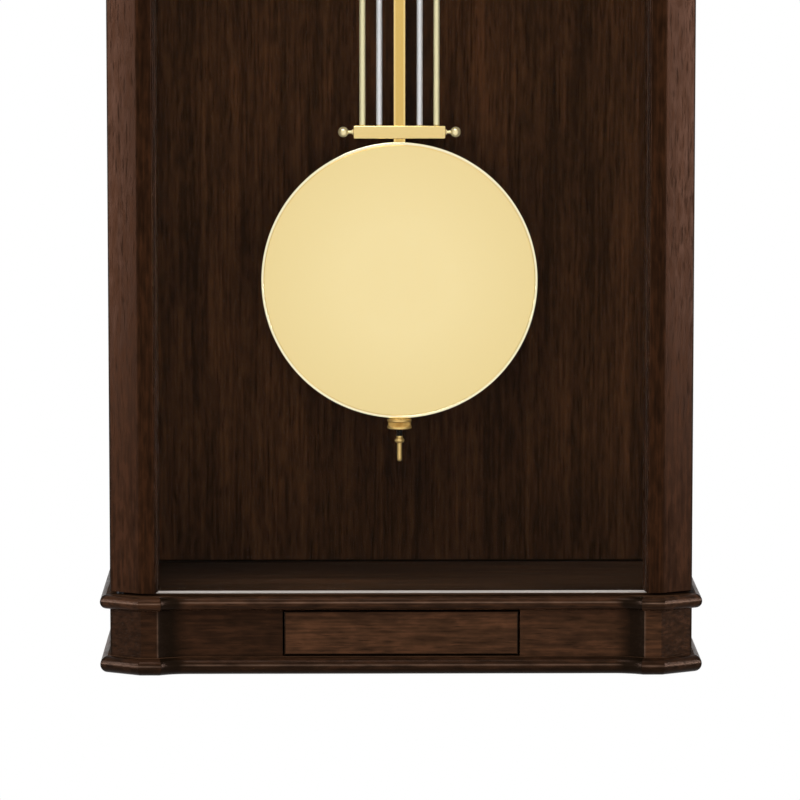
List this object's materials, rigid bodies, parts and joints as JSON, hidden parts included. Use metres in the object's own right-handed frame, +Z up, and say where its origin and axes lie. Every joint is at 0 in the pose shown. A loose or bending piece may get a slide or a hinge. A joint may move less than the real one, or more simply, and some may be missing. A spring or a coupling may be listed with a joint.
{
  "type": "chiming wall clock",
  "caption": "Wall-hung pendulum clock: dark wood case with hinged glass door, chiming movement behind a round dial, gridiron pendulum with disc bob, moulded base with drawer.",
  "frame": {"origin": "rear face of the back panel, straight behind the hand arbor", "axes": "+X to the right seen from the front, +Y into the wall, +Z up; the glass front faces -Y"},
  "size_m": [0.3496, 0.1518, 0.865],
  "materials": {
    "walnut": "dark espresso stain under satin lacquer",
    "back_walnut": "dark stained straight grain, low sheen",
    "glass": "clear float glass with ground edges",
    "brass": "polished and lacquered",
    "satin_brass": "fine circular satin",
    "steel": "bright drawn",
    "iron": "dark enamel",
    "dial": "matt ivory enamel",
    "black": "satin black"
  },
  "bodies": {
    "case": {"base_plinth": "walnut", "base_shelf": "walnut", "cornice_bed": "walnut", "cornice_frieze": "walnut", "cornice_crown": "walnut", "base_frieze_left": "walnut", "base_frieze_right": "walnut", "drawer_runner_frame": "back_walnut", "left_side_panel": "walnut", "right_side_panel": "walnut", "back_panel": "back_walnut", "hanger_plate": "steel", "seat_board": "back_walnut", "dial_board": "walnut", "door_magnet": "black", "lower_hinge_pin": "steel", "upper_hinge_pin": "steel", "dial_plate": "dial", "bezel_ring": "brass", "movement_front_plate": "brass", "movement_back_plate": "brass", "chime_rods_on_block": "iron", "hammer_rail": "steel", "suspension_cock": "brass", "suspension_spring": "steel"},
    "door": {"door_left_stile": "walnut", "door_right_stile": "walnut", "door_top_rail": "walnut", "door_glass": "glass", "door_strike_plate": "steel"},
    "drawer": {"drawer_front": "walnut", "drawer_tray": "back_walnut", "winding_key": "brass"},
    "minute_arbor": {"centre_wheel": "brass", "minute_hand": "black", "hand_nut": "brass"},
    "hour_pipe": {"hour_wheel": "brass", "hour_hand": "black"},
    "motion_wheel": {"minute_wheel": "brass"},
    "time_barrel_arbor": {"time_barrel": "brass"},
    "strike_barrel_arbor": {"strike_barrel": "brass"},
    "chime_barrel_arbor": {"chime_barrel": "brass"},
    "third_arbor": {"third_wheel": "brass"},
    "escape_arbor": {"escape_wheel": "brass"},
    "anchor": {"anchor_with_crutch": "steel"},
    "drum": {"chime_drum": "brass"},
    "first_hammer": {"hammer_1": "steel"},
    "second_hammer": {"hammer_2": "steel"},
    "third_hammer": {"hammer_3": "steel"},
    "fourth_hammer": {"hammer_4": "steel"},
    "pendulum": {"pendulum_bar": "brass", "lower_crossbar": "brass", "upper_crossbar": "brass", "outer_rod_left": "brass", "outer_rod_right": "brass", "inner_rod_left": "steel", "inner_rod_right": "steel", "bob": "satin_brass"},
    "nut": {"rating_nut": "brass"}
  },
  "joints": [
    {"name": "door_hinge", "type": "hinge", "parent": "case", "child": "door", "pos_m": [-0.163, -0.132, -0.2], "axis": [0, 0, -1], "range_deg": [0, 105]},
    {"name": "drawer_slide", "type": "slide", "parent": "case", "child": "drawer", "axis": [0, -1, 0], "range_m": [0, 0.075]},
    {"name": "minute_hand_turn", "type": "hinge", "parent": "case", "child": "minute_arbor", "pos_m": [0, -0.09, 0], "axis": [0, 1, 0], "continuous": true},
    {"name": "hour_hand_turn", "type": "hinge", "parent": "case", "child": "hour_pipe", "pos_m": [0, -0.11, 0], "axis": [0, 1, 0], "continuous": true},
    {"name": "motion_wheel_turn", "type": "hinge", "parent": "case", "child": "motion_wheel", "pos_m": [0.01966, -0.103, 0.01377], "axis": [0, 1, 0], "continuous": true},
    {"name": "time_barrel_turn", "type": "hinge", "parent": "case", "child": "time_barrel_arbor", "pos_m": [0, -0.08, -0.0375], "axis": [0, 1, 0], "continuous": true},
    {"name": "third_wheel_turn", "type": "hinge", "parent": "case", "child": "third_arbor", "pos_m": [0.01974, -0.07, 0.02437], "axis": [0, 1, 0], "continuous": true},
    {"name": "escape_wheel_turn", "type": "hinge", "parent": "case", "child": "escape_arbor", "pos_m": [0, -0.07, 0.04004], "axis": [0, 1, 0], "continuous": true},
    {"name": "strike_barrel_turn", "type": "hinge", "parent": "case", "child": "strike_barrel_arbor", "pos_m": [-0.044, -0.08, -0.03], "axis": [0, 1, 0], "continuous": true},
    {"name": "chime_barrel_turn", "type": "hinge", "parent": "case", "child": "chime_barrel_arbor", "pos_m": [0.044, -0.08, -0.03], "axis": [0, 1, 0], "continuous": true},
    {"name": "chime_drum_turn", "type": "hinge", "parent": "case", "child": "drum", "pos_m": [0.092, -0.086, -0.004], "axis": [1, 0, 0], "continuous": true},
    {"name": "first_hammer_lift", "type": "hinge", "parent": "case", "child": "first_hammer", "pos_m": [0.074, -0.064, -0.02], "axis": [1, 0, 0], "range_deg": [0, 12]},
    {"name": "second_hammer_lift", "type": "hinge", "parent": "case", "child": "second_hammer", "pos_m": [0.086, -0.064, -0.02], "axis": [1, 0, 0], "range_deg": [0, 12]},
    {"name": "third_hammer_lift", "type": "hinge", "parent": "case", "child": "third_hammer", "pos_m": [0.098, -0.064, -0.02], "axis": [1, 0, 0], "range_deg": [0, 12]},
    {"name": "fourth_hammer_lift", "type": "hinge", "parent": "case", "child": "fourth_hammer", "pos_m": [0.11, -0.064, -0.02], "axis": [1, 0, 0], "range_deg": [0, 12]},
    {"name": "pendulum_swing", "type": "hinge", "parent": "case", "child": "pendulum", "pos_m": [0, -0.039, 0.06204], "axis": [0, 1, 0], "range_deg": [-3.5, 3.5], "deforming": ["suspension_spring"]},
    {"name": "anchor_rock", "type": "hinge", "parent": "case", "child": "anchor", "pos_m": [0, -0.07, 0.06204], "axis": [0, 1, 0], "range_deg": [-3.5, 3.5]},
    {"name": "rating_nut_turn", "type": "hinge", "parent": "pendulum", "child": "nut", "pos_m": [0, -0.039, -0.52], "axis": [0, 0, 1], "continuous": true}
  ],
  "couplings": [
    {"joint": "hour_hand_turn", "follows": "minute_hand_turn", "ratio": 0.083333},
    {"joint": "motion_wheel_turn", "follows": "minute_hand_turn", "ratio": -0.33333},
    {"joint": "time_barrel_turn", "follows": "minute_hand_turn", "ratio": -0.25},
    {"joint": "third_wheel_turn", "follows": "minute_hand_turn", "ratio": -6},
    {"joint": "escape_wheel_turn", "follows": "minute_hand_turn", "ratio": 36},
    {"joint": "chime_drum_turn", "follows": "chime_barrel_turn", "ratio": 4},
    {"joint": "anchor_rock", "follows": "pendulum_swing", "ratio": 1}
  ]
}
